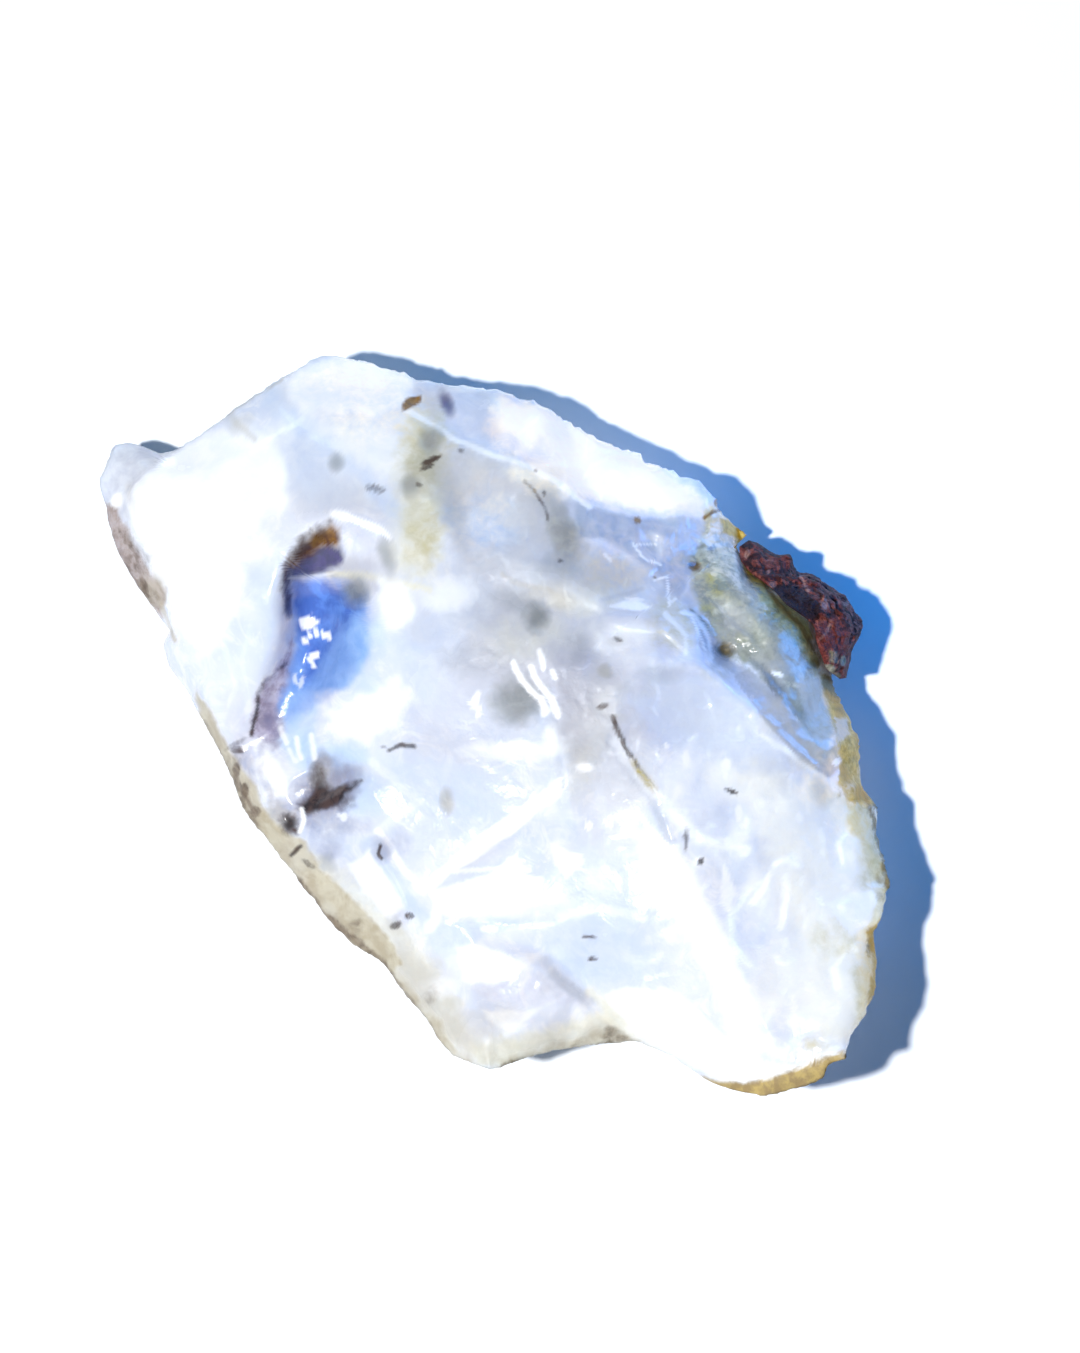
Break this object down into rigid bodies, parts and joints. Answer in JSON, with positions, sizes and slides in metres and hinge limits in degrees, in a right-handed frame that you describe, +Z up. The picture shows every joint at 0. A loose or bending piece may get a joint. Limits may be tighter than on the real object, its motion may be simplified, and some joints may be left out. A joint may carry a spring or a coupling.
{
  "type": "rough white opal specimen",
  "caption": "Chipped lump of milky white common opal with a blue hollow and reddish host rock on one edge, resting on a flat underside.",
  "frame": {"origin": "on the table below the middle of the stone's box", "axes": "+Z up, away from the flat underside; +X across the stone towards the host rock; +Y away from the viewer"},
  "size_m": [0.0398, 0.0382, 0.0124],
  "materials": {
    "milk_opal": "glossy milky white, bluish where thin, waxy fracture faces",
    "iron_host_rock": "dull, granular, iron-red with dark grains"
  },
  "bodies": {
    "root": {"opal": "milk_opal", "host_rock": "iron_host_rock"}
  },
  "joints": []
}
